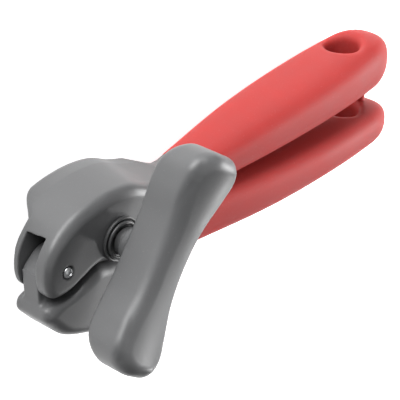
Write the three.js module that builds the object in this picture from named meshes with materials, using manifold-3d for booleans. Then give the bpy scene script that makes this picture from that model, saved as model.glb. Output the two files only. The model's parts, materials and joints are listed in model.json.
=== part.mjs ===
// Manual can opener, in millimetres: two pivoting jaws with soft grips, a turning key on a drive shaft,
// and the toothed drive wheel and cutting wheel behind the jaws. It lies flat with the key on top.
//
// The pieces are drawn in a working frame with its origin on the pivot pin: u runs along the handles,
// v points towards the upper handle and w runs along the pivot, towards the key.
// toTable() then turns that frame about the vertical, so that the head points along +X.

import * as THREE from "three";
import { mergeVertices } from "three/addons/utils/BufferGeometryUtils.js";
import Module from "manifold-3d";

const wasm = await Module();
wasm.setup();

// ---- driving dimensions -------------------------------------------------------------------------

const REST_W = -14.4; // the opener lies on everything that reaches this depth
const JAW_BACK_W = -5.4; // rear face of both jaws
const JAW_FRONT_W = 11.8; // key-side face of both jaws
const SLOT_BACK_W = -2.7; // clevis slot between the two ears
const SLOT_FRONT_W = 5.8;
const SLOT_R = 13.2; // the slot's rounded end, about the pivot
const EAR_REACH = 9.4; // how far the ears stand out in front of the pivot
const SEAT_R = 10.3; // hollow in the lower jaw that clears the ears
const TONGUE_R = 8.5; // tongue of the lower jaw, about the pivot
const TONGUE_GAP = 0.35; // play between the tongue and each ear
const JAW_ROUND = 3.6; // rounding of the jaws' outer edges

const PIN_R = 2.2; // pivot pin
const RUN_PLAY = 0.08; // radial play of every turning fit

const SHAFT_U = 24.5; // axis of the drive shaft
const SHAFT_V = 2.2;
const SHAFT_R = 3.0;
const BUSHING_R = 5.4;
const FLANGE_R = 8.4;
const DRIVE_R = 6.5; // toothed wheel, over the teeth
const DRIVE_ROOT_R = 5.6;
const DRIVE_TEETH = 20;
const CUTTER_R = 9.5; // cutting wheel, over its edge
const CUTTER_V = -12.6; // its axis sits straight below the drive shaft
const AXLE_R = 2.5;

const KEY_TILT = 36.5; // key's long axis, in degrees from v towards u
const KEY_HALF = 40.3;
const KEY_WAIST = 8.2; // half width at the shaft
const KEY_END = 12.5; // half width near the ends
const KEY_INNER_W = 21.1; // face towards the jaws, at the shaft
const KEY_OUTER_W = 38.4;
const KEY_INNER_BOW = 4.6; // how far each face bends away from the jaws at the ends
const KEY_OUTER_BOW = 5.6;

const GRIP_START_U = 66.0;
const UPPER_END_U = 182.6;
const LOWER_END_U = 183.7;
const GRIP_NOSE = 18.2; // length of each grip's rounded end
const GRIP_MID_W = 1.2;
const GRIP_SQUARE = 2.6; // exponent of the grip's rounded-square section
const HOLE_U = 163.0; // hanging holes
const HOLE_W = 1.2;
const HOLE_R = 7.5;
const CORE_END_U = 148.0; // steel core strips inside the grips
const BUMPER_R = 1.9; // soft stop between the handles
const BUMPER_U = 173.6;
const BUMPER_V = -4.4;
const BUMPER_W = 1.8;

// Grip outlines along u: outer face, inner face and half width. The last station is held to the end.
const STATION_U = [62, 105, 145, 185];
const UPPER_OUTER = [12.8, 19.0, 22.8, 26.2];
const UPPER_INNER = [-0.9, 0.2, 1.4, 2.7];
const LOWER_OUTER = [-21.9, -23.0, -22.2, -21.8];
const LOWER_INNER = [-2.1, -3.0, -4.0, -5.4];
const HALF_WIDTH = [9.2, 14.3, 15.45, 11.8];

// ---- shared helpers ------------------------------------------------------------------------------

/** Closed manifold body made from a three.js geometry. */
function solid(geometry) {
  const plain = new THREE.BufferGeometry();
  plain.setAttribute("position", geometry.getAttribute("position"));
  plain.setIndex(geometry.getIndex());
  const welded = mergeVertices(plain, 1e-4);
  const corners = welded.getIndex().array;
  const kept = [];
  for (let i = 0; i < corners.length; i += 3) {
    const [a, b, c] = [corners[i], corners[i + 1], corners[i + 2]];
    if (a !== b && b !== c && c !== a) kept.push(a, b, c);
  }
  return new wasm.Manifold(new wasm.Mesh({
    numProp: 3,
    vertProperties: new Float32Array(welded.getAttribute("position").array),
    triVerts: new Uint32Array(kept),
  }));
}

/** three.js geometry of a manifold body, turned from the working frame to the table frame. */
function toTable(body) {
  const mesh = body.getMesh();
  const geometry = new THREE.BufferGeometry();
  geometry.setAttribute("position", new THREE.BufferAttribute(new Float32Array(mesh.vertProperties), 3));
  geometry.setIndex(new THREE.BufferAttribute(new Uint32Array(mesh.triVerts), 1));
  geometry.rotateZ(Math.PI);
  geometry.translate(CENTRE_U, CENTRE_V, -REST_W);
  geometry.computeVertexNormals();
  return geometry;
}

/** Round bar along w between two depths. */
function bar(u, v, radius, w0, w1, segments = 32, endRadius = radius) {
  const geometry = new THREE.CylinderGeometry(endRadius, radius, w1 - w0, segments);
  geometry.rotateX(Math.PI / 2);
  geometry.translate(u, v, (w0 + w1) / 2);
  return solid(geometry);
}

/** Body turned about an axis along w, from a closed profile of [radius, w] points in either order. */
function turned(u, v, profile, segments = 40) {
  const points = profile.map(([radius, w]) => new THREE.Vector2(radius, w));
  if (THREE.ShapeUtils.isClockWise(points)) points.reverse();
  points.push(points[0].clone());
  const geometry = new THREE.LatheGeometry(points, segments);
  geometry.rotateX(Math.PI / 2);
  geometry.translate(u, v, 0);
  return solid(geometry);
}

/** Square-edged block between two corners. */
function block(u0, u1, v0, v1, w0, w1) {
  const geometry = new THREE.BoxGeometry(u1 - u0, v1 - v0, w1 - w0);
  geometry.translate((u0 + u1) / 2, (v0 + v1) / 2, (w0 + w1) / 2);
  return solid(geometry);
}

/** Closed smooth curve through [u, v] points, as a shape. */
function smoothShape(points, samples) {
  const curve = new THREE.CatmullRomCurve3(
    points.map(([u, v]) => new THREE.Vector3(u, v, 0)), true, "centripetal");
  return new THREE.Shape(curve.getPoints(samples).slice(0, -1).map((p) => new THREE.Vector2(p.x, p.y)));
}

/** Straight-sided shape from [u, v] points. */
function polygon(points) {
  return new THREE.Shape(points.map(([u, v]) => new THREE.Vector2(u, v)));
}

/** Shape in the u-v plane given thickness along w, with its edges rounded inwards. */
function plate(shape, w0, w1, round = 0, curveSegments = 12, steps = 1) {
  const geometry = new THREE.ExtrudeGeometry(shape, {
    depth: w1 - w0 - 2 * round,
    steps,
    curveSegments,
    bevelEnabled: round > 0,
    bevelThickness: round,
    bevelSize: round,
    bevelOffset: -round,
    bevelSegments: 3,
  });
  geometry.translate(0, 0, w0 + round);
  return geometry;
}

/** Shape in the u-w plane given thickness along v. */
function planPlate(shape, v0, v1) {
  const geometry = new THREE.ExtrudeGeometry(shape, { depth: v1 - v0, bevelEnabled: false });
  geometry.rotateX(Math.PI / 2);
  geometry.translate(0, v1, 0);
  return solid(geometry);
}

/** Moves every vertex of a geometry through a function of its position. */
function reshape(geometry, move) {
  const position = geometry.getAttribute("position");
  const p = new THREE.Vector3();
  for (let i = 0; i < position.count; i += 1) {
    p.fromBufferAttribute(position, i);
    move(p);
    position.setXYZ(i, p.x, p.y, p.z);
  }
  return geometry;
}

/** Smooth value between stations: cubic, and level beyond the last station. */
function between(stations, values, u) {
  const last = stations.length - 1;
  const x = Math.min(Math.max(u, stations[0]), stations[last]);
  let i = 0;
  while (i < last - 1 && x > stations[i + 1]) i += 1;
  const slope = (k) => {
    const a = Math.max(k - 1, 0);
    const b = Math.min(k + 1, last);
    return (values[b] - values[a]) / (stations[b] - stations[a]);
  };
  const span = stations[i + 1] - stations[i];
  const t = (x - stations[i]) / span;
  return values[i] * (1 + 2 * t) * (1 - t) ** 2 + slope(i) * span * t * (1 - t) ** 2
    + values[i + 1] * t * t * (3 - 2 * t) + slope(i + 1) * span * t * t * (t - 1);
}

/**
 * Body made of rounded sections strung along an axis. ends are [position, fullness] pairs, fullness 0 at
 * both tips; place(position, c, s, fullness) returns the point at cosine c and sine s round the section.
 */
function strung(stations, around, place) {
  const profile = stations.map(([position, fullness]) => new THREE.Vector2(fullness, position));
  return solid(reshape(new THREE.LatheGeometry(profile, around), (p) => {
    const fullness = Math.hypot(p.x, p.z);
    const c = fullness > 0 ? p.x / fullness : 0;
    const s = fullness > 0 ? p.z / fullness : 0;
    p.copy(place(p.y, c, s, fullness));
  }));
}

/** Signed power, which squares up a round section. */
function squared(value, exponent) {
  return Math.sign(value) * Math.abs(value) ** (2 / exponent);
}

/** Soft grip: rounded-square sections with a flat front and a rounded end. */
function gripBody(outer, inner, end) {
  const stations = [[GRIP_START_U, 0]];
  for (let i = 0; i <= 12; i += 1) {
    stations.push([GRIP_START_U + (end - GRIP_NOSE - GRIP_START_U) * (i / 12), 1]);
  }
  for (let i = 1; i < 8; i += 1) {
    const reach = Math.sin((Math.PI / 2) * (i / 8));
    stations.push([end - GRIP_NOSE + GRIP_NOSE * reach, (1 - reach ** 2.4) ** 0.5]);
  }
  stations.push([end, 0]);
  return strung(stations, 40, (u, c, s, fullness) => {
    const top = between(STATION_U, outer, u);
    const bottom = between(STATION_U, inner, u);
    const half = between(STATION_U, HALF_WIDTH, u);
    return new THREE.Vector3(
      u,
      (top + bottom) / 2 + squared(s, GRIP_SQUARE) * (Math.abs(top - bottom) / 2) * fullness ** 0.8,
      GRIP_MID_W + squared(c, GRIP_SQUARE) * half * fullness);
  });
}

/** Rounded bore through a grip along v, flared a little at both mouths. */
function hangingHole(v0, v1) {
  const flare = 1.6;
  const points = [[0, v0 - 4], [HOLE_R + flare + 2, v0 - 4], [HOLE_R + flare, v0 - 0.2],
    [HOLE_R, v0 + flare], [HOLE_R, v1 - flare], [HOLE_R + flare, v1 + 0.2],
    [HOLE_R + flare + 2, v1 + 4], [0, v1 + 4]].map(([r, v]) => new THREE.Vector2(r, v));
  const geometry = new THREE.LatheGeometry(points, 36);
  geometry.translate(HOLE_U, 0, HOLE_W);
  return solid(geometry);
}

const group = new THREE.Group();
group.name = "can_opener";

function add(name, body, colour) {
  const material = new THREE.MeshStandardMaterial({ color: colour });
  const mesh = new THREE.Mesh(toTable(body), material);
  mesh.name = name;
  group.add(mesh);
}

const GREY = 0x6f7072;
const RED = 0xd5564f;
const STEEL = 0xb9bbbe;

// The opener's box in the working frame, so that the origin lands under its middle.
const CENTRE_U = (LOWER_END_U - EAR_REACH) / 2;
const CENTRE_V = SHAFT_V;

// ---- upper arm -----------------------------------------------------------------------------------

// Side outline: front of the ears, the arched top, the neck, then the parting line back to the ears.
const upperOutline = smoothShape([
  [-EAR_REACH, 1.5], [-8.2, 6.4], [-5.0, 11.4], [0.5, 16.2], [7.5, 19.8], [16, 22.2], [25, 22.9], [34, 21.6],
  [43, 17.7], [51, 14.0], [59, 12.7], [66, 13.0],
  [74, 12.7], [79.4, 10.6], [81.6, 6.1], [79.4, 1.5], [74, -0.6], [66, -0.9], [54, -1.2], [42, -1.9], [33, -4.2], [26, -6.0], [20, -5.4], [14.5, -4.2],
  [8.0, -6.6], [2.0, -8.9], [-3.5, -9.0], [-7.6, -5.6],
], 128);
const hoodFall = (w) => Math.max(0, (w + 6) / 18); // the top falls towards the key side
const upperBlank = solid(reshape(
  plate(upperOutline, REST_W, JAW_FRONT_W, JAW_ROUND, 12, 4),
  (p) => {
    if (p.y > 10) {
      p.y -= 3.2 * hoodFall(p.z) * Math.min(1, (p.y - 10) / 8);
    }
  }));

// Behind the ears the hood starts further back, with a rounded corner.
const frontCorner = planPlate(polygon([
  [-20, JAW_BACK_W], [-2.9, JAW_BACK_W], [-0.8, -7.2], [1.8, -9.8], [4.9, -12.6], [8.2, -16], [-20, -16],
]), -20, 30);

/** Sleeve that keeps a jaw's neck inside its grip's section and opens out again over the head. */
function neckSleeve(outer, inner) {
  const stations = [[-40, 0], [-40, 1]];
  for (let i = 0; i <= 12; i += 1) stations.push([38 + 28 * (i / 12), 1]);
  stations.push([95, 1], [95, 0]);
  return strung(stations, 40, (u, c, s, fullness) => {
    const open = Math.max(0, Math.min(1, (62 - u) / 22)) ** 2.2;
    const top = between(STATION_U, outer, u) - 0.15;
    const bottom = between(STATION_U, inner, u) + 0.15;
    const half = between(STATION_U, HALF_WIDTH, u) - 0.15;
    return new THREE.Vector3(
      u,
      (top + bottom) / 2 + squared(s, GRIP_SQUARE) * (Math.abs(top - bottom) / 2 + 45 * open) * fullness,
      GRIP_MID_W + squared(c, GRIP_SQUARE) * (half + 40 * open) * fullness);
  });
}
const underHood = block(-20, 58, -20, 6.2, -16, JAW_BACK_W);
const hoodHollow = solid(plate(smoothShape([
  [10.5, 2], [10.8, 9], [14.5, 14.5], [22, 17.6], [30, 17.4], [38, 13.4], [42, 8], [42, 2], [26, -2],
], 40), -12.2, JAW_BACK_W));
const clevisSlot = bar(0, 0, SLOT_R, SLOT_BACK_W, SLOT_FRONT_W, 48)
  .add(block(-20, 0, -20, SLOT_R * 0.7, SLOT_BACK_W, SLOT_FRONT_W));
const upperTang = block(64, 84, 3.0, 9.2, -2.8, 5.2);
const upperCoreSlot = block(44, 90, 4.0, 8.2, -0.3, 2.7);
const gripCut = block(GRIP_START_U - 0.3, 100, -40, 40, -30, 30);
const upperJaw = upperBlank
  .intersect(neckSleeve(UPPER_OUTER, UPPER_INNER))
  .subtract(frontCorner)
  .subtract(underHood)
  .subtract(hoodHollow)
  .subtract(clevisSlot)
  .subtract(gripCut)
  .add(upperTang)
  .subtract(upperCoreSlot)
  .subtract(bar(0, 0, PIN_R + 0.02, -30, 30))
  .subtract(bar(0, 0, 3.0, JAW_FRONT_W - 0.9, 20))
  .subtract(bar(SHAFT_U, SHAFT_V, BUSHING_R + 0.02, -30, 30, 36))
  .subtract(bar(14.5, 1.2, 1.32, JAW_BACK_W - 1, 2, 16))
  .subtract(bar(36.5, 1.6, 1.32, JAW_BACK_W - 1, 2, 16))
  .subtract(bar(75, 6.1, 1.27, -10, 20, 16));
add("upper_jaw", upperJaw, GREY);

const upperGrip = gripBody(UPPER_OUTER, UPPER_INNER, UPPER_END_U)
  .subtract(hangingHole(2.0, 24.6))
  .subtract(block(60, 84.3, 2.7, 9.5, -3.1, 5.5))
  .subtract(block(60, CORE_END_U + 0.3, 4.0, 8.2, -0.3, 2.7));
add("upper_grip", upperGrip, RED);

const upperCore = block(44.3, CORE_END_U, 4.3, 7.9, 0.0, 2.4)
  .subtract(bar(75, 6.1, 1.27, -10, 20, 16));
add("upper_core", upperCore, STEEL);
add("upper_core_pin", bar(75, 6.1, 1.25, -2.7, 5.1, 16), STEEL);

add("shaft_bushing", turned(SHAFT_U, SHAFT_V, [
  [SHAFT_R + RUN_PLAY, JAW_BACK_W + 0.1], [BUSHING_R, JAW_BACK_W + 0.1], [BUSHING_R, 12.1],
  [FLANGE_R, 12.1], [FLANGE_R, 12.9], [FLANGE_R - 0.4, 13.3], [7.55, 13.3], [7.3, 12.9],
  [SHAFT_R + RUN_PLAY, 12.9],
], 48), GREY);
add("thrust_washer", turned(SHAFT_U, SHAFT_V, [
  [SHAFT_R + 0.5, 13.1], [7.0, 13.1], [7.1, 13.6], [6.7, 14.1], [6.2, 14.1], [5.9, 13.6],
  [SHAFT_R + 0.5, 13.6],
], 48), GREY);

const rearPlateShape = smoothShape([
  [10.8, 2.0], [12.5, 4.8], [18, 5.2], [30, 5.2], [38, 5.0], [40.2, 2.0], [38, -1.6], [32, -3.6],
  [24.5, -4.4], [17, -3.2], [12.5, -1.6],
], 44);
const rearPlate = solid(plate(rearPlateShape, JAW_BACK_W - 1.3, JAW_BACK_W - 0.2))
  .subtract(bar(SHAFT_U, SHAFT_V, SHAFT_R + 0.5, -20, 0))
  .subtract(bar(14.5, 1.2, 1.4, -20, 0, 16))
  .subtract(bar(36.5, 1.6, 1.4, -20, 0, 16));
add("rear_plate", rearPlate, STEEL);

function plateScrew(u, v) {
  return turned(u, v, [
    [0, 1.6], [0.9, 1.6], [1.28, 1.0], [1.28, JAW_BACK_W - 1.5], [2.6, JAW_BACK_W - 1.5],
    [2.4, JAW_BACK_W - 2.3], [1.4, JAW_BACK_W - 2.9], [0, JAW_BACK_W - 3.0],
  ], 20).subtract(block(u - 3, u + 3, v - 0.3, v + 0.3, JAW_BACK_W - 4, JAW_BACK_W - 2.4));
}
add("rear_plate_screw_front", plateScrew(14.5, 1.2), STEEL);
add("rear_plate_screw_rear", plateScrew(36.5, 1.6), STEEL);

add("pivot_pin", turned(0, 0, [
  [0, JAW_BACK_W - 2.6], [1.6, JAW_BACK_W - 2.5], [2.9, JAW_BACK_W - 1.9], [3.4, JAW_BACK_W - 1.1],
  [PIN_R, JAW_BACK_W - 1.1], [PIN_R, 11.2], [2.6, 11.2], [2.6, 11.9], [2.0, 12.5], [1.0, 12.8], [0, 12.85],
], 32), STEEL);
add("pivot_washer", turned(0, 0, [
  [PIN_R + 0.3, JAW_BACK_W - 0.9], [4.2, JAW_BACK_W - 0.9], [4.2, JAW_BACK_W - 0.2],
  [PIN_R + 0.3, JAW_BACK_W - 0.2],
], 32), STEEL);

// ---- key and drive -------------------------------------------------------------------------------

const tilt = THREE.MathUtils.degToRad(KEY_TILT);
const keyStations = [[-KEY_HALF, 0]];
for (let i = 1; i < 28; i += 1) {
  keyStations.push([-KEY_HALF * Math.cos((Math.PI * i) / 28), 1]);
}
keyStations.push([KEY_HALF, 0]);
const keyBar = strung(keyStations, 40, (along, c, s, fullness) => {
  const out = Math.abs(along) / KEY_HALF;
  const toEnd = Math.max(0, (Math.abs(along) - KEY_HALF + 9) / 9);
  const toTip = Math.max(0, (Math.abs(along) - KEY_HALF + 3.5) / 3.5);
  const half = (KEY_WAIST + (KEY_END - KEY_WAIST) * out ** 2) * Math.sqrt(Math.max(0.05, 1 - toEnd ** 2.5));
  const inner = KEY_INNER_W + KEY_INNER_BOW * out ** 2;
  const outer = KEY_OUTER_W + KEY_OUTER_BOW * out ** 2;
  const deep = ((outer - inner) / 2) * Math.sqrt(Math.max(0.3, 1 - toTip ** 2.5));
  const across = squared(c, 4) * half * fullness;
  return new THREE.Vector3(
    SHAFT_U + along * Math.sin(tilt) + across * Math.cos(tilt),
    SHAFT_V + along * Math.cos(tilt) - across * Math.sin(tilt),
    (inner + outer) / 2 + squared(s, 4) * deep * fullness);
});
const keyHub = bar(SHAFT_U, SHAFT_V, 5.3, 13.9, KEY_INNER_W + 4, 40, 5.6);
const turningKey = keyBar
  .add(keyHub)
  .subtract(bar(SHAFT_U, SHAFT_V, SHAFT_R + 0.02, 10, 31.3));
add("turning_key", turningKey, GREY);

// Shaft with a shoulder under the key and a thinner threaded tail for the nut.
add("drive_shaft", bar(SHAFT_U, SHAFT_V, SHAFT_R, -11.0, 31, 32)
  .add(bar(SHAFT_U, SHAFT_V, 2.0, -13.6, -10.5, 24)), STEEL);

const driveOutline = [];
for (let i = 0; i < DRIVE_TEETH; i += 1) {
  for (const [turn, radius] of [[0, DRIVE_ROOT_R], [0.3, DRIVE_R], [0.55, DRIVE_R], [0.85, DRIVE_ROOT_R]]) {
    const angle = (2 * Math.PI * (i + turn)) / DRIVE_TEETH;
    driveOutline.push([SHAFT_U + radius * Math.cos(angle), SHAFT_V + radius * Math.sin(angle)]);
  }
}
const driveWheel = solid(plate(polygon(driveOutline), -10.3, -7.6, 0))
  .add(bar(SHAFT_U, SHAFT_V, 4.6, -10.7, -7.3, 32))
  .subtract(bar(SHAFT_U, SHAFT_V, SHAFT_R + 0.02, -20, 0, 32));
add("drive_wheel", driveWheel, STEEL);
add("drive_washer", turned(SHAFT_U, SHAFT_V, [
  [SHAFT_R + 0.3, -7.1], [5.2, -7.1], [5.2, -6.85], [SHAFT_R + 0.3, -6.85],
], 32), STEEL);
const nutBlank = new THREE.CylinderGeometry(3.7, 3.7, 2.0, 6);
nutBlank.rotateX(Math.PI / 2);
nutBlank.translate(SHAFT_U, SHAFT_V, -12.2);
add("drive_nut", solid(nutBlank).subtract(bar(SHAFT_U, SHAFT_V, 2.02, -20, 0, 24)), STEEL);

// ---- lower arm -----------------------------------------------------------------------------------

// Side outline: shoulder under the ears, the parting line, the neck, then the deep rounded bowl.
const lowerOutline = smoothShape([
  [-9.2, -14.2], [-8.2, -9.6], [-3.4, -7.0], [3.0, -7.4], [8.6, -7.6], [14.8, -5.1], [20, -6.4], [26, -7.0], [33, -5.2], [42, -2.9], [54, -2.2], [66, -2.1],
  [76, -3.0], [82, -6.6], [84, -12], [82, -17.6], [76, -21.2], [66, -22.0], [56, -23.0], [46, -25.8], [36, -29.8], [26, -32.4], [16, -32.2], [6, -29.4],
  [-1.6, -25.2], [-6.4, -19.6],
], 132);
const tongue = bar(0, 0, TONGUE_R, SLOT_BACK_W + TONGUE_GAP, SLOT_FRONT_W - TONGUE_GAP, 48)
  .add(solid(plate(polygon([
    [-TONGUE_R, 0], [-TONGUE_R, -15], [8, -15], [TONGUE_R, 0],
  ]), SLOT_BACK_W + TONGUE_GAP, SLOT_FRONT_W - TONGUE_GAP)));
const lowerTang = block(64, 84, -15.4, -9.2, -2.8, 5.2);
const lowerCoreSlot = block(44, 90, -14.4, -10.2, -0.3, 2.7);
const lowerJaw = solid(plate(lowerOutline, JAW_BACK_W, JAW_FRONT_W, JAW_ROUND - 0.8))
  .intersect(neckSleeve(LOWER_OUTER, LOWER_INNER))
  .subtract(bar(0, 0, SEAT_R, -20, 20, 48))
  .add(tongue)
  .subtract(gripCut)
  .add(lowerTang)
  .subtract(lowerCoreSlot)
  .subtract(bar(0, 0, PIN_R + RUN_PLAY, -30, 30))
  .subtract(bar(SHAFT_U, CUTTER_V, 1.82, -20, 4, 24))
  .subtract(bar(75, -12.3, 1.27, -10, 20, 16));
add("lower_jaw", lowerJaw, GREY);

// Soft stop that stands between the handles, plugged into the lower grip beside its hanging hole.
function bumperCapsule(radius) {
  const geometry = new THREE.CapsuleGeometry(radius, 4.4, 6, 20);
  geometry.translate(BUMPER_U, BUMPER_V, BUMPER_W);
  return solid(geometry);
}
const bumperSocket = bumperCapsule(BUMPER_R + 0.1);
const lowerGrip = gripBody(LOWER_OUTER, LOWER_INNER, LOWER_END_U)
  .subtract(hangingHole(-21.8, -4.6))
  .subtract(block(60, 84.3, -15.7, -8.9, -3.1, 5.5))
  .subtract(block(60, CORE_END_U + 0.3, -14.4, -10.2, -0.3, 2.7))
  .subtract(bumperSocket);
add("lower_grip", lowerGrip, RED);

const lowerCore = block(44.3, CORE_END_U, -14.1, -10.5, 0.0, 2.4)
  .subtract(bar(75, -12.3, 1.27, -10, 20, 16));
add("lower_core", lowerCore, STEEL);
add("lower_core_pin", bar(75, -12.3, 1.25, -2.7, 5.1, 16), STEEL);

add("cutter_axle", turned(SHAFT_U, CUTTER_V, [
  [0, 3.8], [1.8, 3.8], [1.8, JAW_BACK_W - 0.2], [AXLE_R, JAW_BACK_W - 0.2], [AXLE_R, -12.9],
  [4.6, -12.9], [4.6, -13.9], [4.1, REST_W], [0, REST_W],
], 32), STEEL);
add("cutter_washer", turned(SHAFT_U, CUTTER_V, [
  [AXLE_R + 0.2, -9.9], [4.4, -9.9], [4.4, JAW_BACK_W - 0.2], [AXLE_R + 0.2, JAW_BACK_W - 0.2],
], 32), STEEL);
add("cutting_wheel", turned(SHAFT_U, CUTTER_V, [
  [AXLE_R + RUN_PLAY, -12.6], [5.4, -12.6], [CUTTER_R, -11.0], [CUTTER_R - 0.6, -10.7], [5.0, -10.2],
  [AXLE_R + RUN_PLAY, -10.2],
], 48), STEEL);

add("stop_bumper", bumperCapsule(BUMPER_R), RED);

export default group;
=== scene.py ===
"""Manual can opener: two pivoting jaws with soft grips, a bowed turning key, and the wheels behind the jaws.

Shapes are worked out in millimetres in a working frame whose origin is on the pivot pin: u runs along the
handles, v points towards the upper handle and w runs along the pivot, towards the key. placed() takes that
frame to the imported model's frame, in metres.

The moulded pieces run into each other in soft blends that no single outline or path can give, so each is a
distance field, which is negative inside the piece, and skin() makes the surface where it is zero. The
steel pieces and rings are profiles turned round an axis or outlines carried along one.
"""
import json
import math

import bpy
import numpy as np
from bpy.props import FloatProperty, FloatVectorProperty, IntProperty, PointerProperty
from bpy.types import Operator, Panel, PropertyGroup
from mathutils import Matrix, Vector


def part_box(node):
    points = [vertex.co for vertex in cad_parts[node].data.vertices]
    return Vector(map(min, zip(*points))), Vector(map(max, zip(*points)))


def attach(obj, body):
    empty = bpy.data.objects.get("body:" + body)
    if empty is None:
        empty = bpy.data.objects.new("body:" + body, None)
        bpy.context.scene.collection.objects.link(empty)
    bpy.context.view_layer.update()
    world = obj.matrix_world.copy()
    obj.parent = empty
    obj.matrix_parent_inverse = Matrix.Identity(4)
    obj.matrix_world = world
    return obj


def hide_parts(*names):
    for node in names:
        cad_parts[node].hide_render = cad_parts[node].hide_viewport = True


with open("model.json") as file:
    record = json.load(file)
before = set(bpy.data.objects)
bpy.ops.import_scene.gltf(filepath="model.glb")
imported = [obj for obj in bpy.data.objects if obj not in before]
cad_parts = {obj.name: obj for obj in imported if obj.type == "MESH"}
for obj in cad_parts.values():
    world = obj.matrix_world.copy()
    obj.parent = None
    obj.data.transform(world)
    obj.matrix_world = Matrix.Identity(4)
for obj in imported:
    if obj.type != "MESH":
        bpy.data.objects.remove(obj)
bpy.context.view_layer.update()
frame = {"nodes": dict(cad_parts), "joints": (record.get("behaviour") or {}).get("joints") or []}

bl_info = {
    "name": "Manual Can Opener",
    "version": (1, 0, 0),
    "blender": (4, 5, 0),
    "location": "View3D > Sidebar > Can Opener",
    "description": "Builds the visible pieces of a manual can opener round its packed model",
    "category": "Object",
}

JOINTS = {joint["name"]: joint for joint in frame["joints"]}
PIVOT = np.array(JOINTS["handles_open"]["pos_m"])
SHAFT = (PIVOT - np.array(JOINTS["key_turn"]["pos_m"])) * 1000.0
CUTTER = (PIVOT - np.array(JOINTS["cutter_spin"]["pos_m"])) * 1000.0
REST_W = -14.4

# Faces of the jaws along w, and the clevis slot between the ears.
JAW_BACK, JAW_FRONT = -5.4, 11.8
SLOT_BACK, SLOT_FRONT = -2.7, 5.8

# Grip outlines at stations along u: outer face, inner face and half width.
STATIONS = (62.0, 105.0, 145.0, 185.0)
UPPER_OUTER = (12.8, 19.0, 22.8, 26.2)
UPPER_INNER = (-0.9, 0.2, 1.4, 2.7)
LOWER_OUTER = (-22.1, -23.4, -22.6, -22.0)
LOWER_INNER = (-2.1, -3.0, -4.0, -5.4)
HALF_WIDTH = (9.2, 14.3, 15.45, 11.8)
GRIP_MID_W = 1.2
GRIP_START = 66.0
UPPER_END, LOWER_END = 184.8, 184.9
NOSE_LENGTH, NOSE_POWER = 18.2, 2.15
HOLE_U, HOLE_W = 162.2, 0.5

# Radii of the bores that the turned pieces sit in, and where the rear plate's screws are.
PIN_BORE, PIN_RECESS, TONGUE_BORE = 2.22, 2.45, 2.28
BUSHING_BORE, KEY_BORE, AXLE_BORE, SCREW_BORE = 5.42, 3.02, 1.82, 1.32
PLATE_SCREWS = ((14.5, 1.2), (36.5, 1.6))

# Point that the camera looks at, in the working frame, and its lens.
LOOKED_AT = (60.91, 2.86, 16.13)
LENS, SENSOR = 145.36, 36.0
FLOOR_HALF = 3.0

# Side outlines of the jaws, as points that a smooth closed curve passes through.
UPPER_BACK_OUTLINE = (
    (-9.6, 1.5), (-8.6, 6.2), (-5.5, 11.6), (-0.9, 17.3), (6.4, 21.1), (15.5, 22.9), (25, 23.1), (34, 21.6),
    (43, 17.3), (51, 14.6), (59, 13.5), (66, 13.2), (74, 12.7), (79.4, 10.6), (81.6, 6.1), (79.4, 1.5),
    (74, -0.6), (66, -0.9), (54, -1.2), (42, -1.9), (33, -4.2), (26, -6.0), (20, -5.4), (14.5, -4.2),
    (8.0, -6.2), (2.6, -8.1), (-2.6, -8.8), (-6.4, -8.1), (-8.7, -5.6), (-9.6, -2.2))
LOWER_OUTLINE = (
    (-10.3, -15.6), (-9.4, -12.4), (-6.6, -11.0), (-2.0, -9.6), (3.0, -8.8), (8.6, -8.0), (14.8, -5.9),
    (20, -6.7), (26, -7.0), (33, -5.2), (42, -2.9), (54, -2.2), (66, -2.1), (76, -3.0), (82, -6.6),
    (84, -12), (82, -17.6), (76, -21.2), (66, -22.0), (56, -23.0), (46, -25.8), (36, -29.8), (26, -32.4),
    (16, -32.2), (6, -29.6), (-2.2, -25.6), (-7.2, -20.2))
HOLLOW_OUTLINE = (
    (10.5, 2), (10.8, 9), (14.5, 14.5), (22, 17.6), (30, 17.4), (38, 13.4), (42, 8), (42, 2), (26, -2))
FRONT_CORNER = (
    (-30, -5.4), (-2.9, -5.4), (-0.8, -7.2), (1.8, -9.8), (4.9, -12.6), (8.2, -16), (8.2, -30), (-30, -30))


# ---- settings ------------------------------------------------------------------------------------

class GripSettings(PropertyGroup):
    """Sizes and colour of the two soft grips."""

    hole_radius: FloatProperty(
        name="Hanging hole", description="Radius of the hanging holes, in millimetres", default=6.7, min=4.0)
    hole_rim: FloatProperty(
        name="Hole rim", description="How softly the hanging holes' rims are rounded", default=4.0, min=0.5)
    squareness: FloatProperty(
        name="Squareness", description="Exponent of the rounded-square section", default=2.6, min=2.0)
    colour: FloatVectorProperty(
        name="Colour", description="Colour of the soft outer layer", subtype="COLOR", size=3,
        min=0.0, max=1.0, default=(0.36, 0.033, 0.030))


class JawSettings(PropertyGroup):
    """Sizes and colour of the moulded jaws."""

    edge_round: FloatProperty(
        name="Edge rounding", description="Rounding of the hood's outer edges, in millimetres", default=3.8)
    ear_round: FloatProperty(
        name="Ear rounding", description="Rounding of the ears' outer edges, in millimetres", default=3.0)
    bowl_round: FloatProperty(
        name="Bowl rounding", description="Rounding of the lower jaw's edges, in millimetres", default=4.4)
    slot_radius: FloatProperty(
        name="Slot", description="Radius of the clevis slot about the pivot, in millimetres", default=13.2)
    tongue_radius: FloatProperty(
        name="Tongue", description="Radius of the tongue about the pivot, in millimetres", default=8.5)
    colour: FloatVectorProperty(
        name="Colour", description="Colour of the grey plastic", subtype="COLOR", size=3,
        min=0.0, max=1.0, default=(0.083, 0.084, 0.086))


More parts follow.
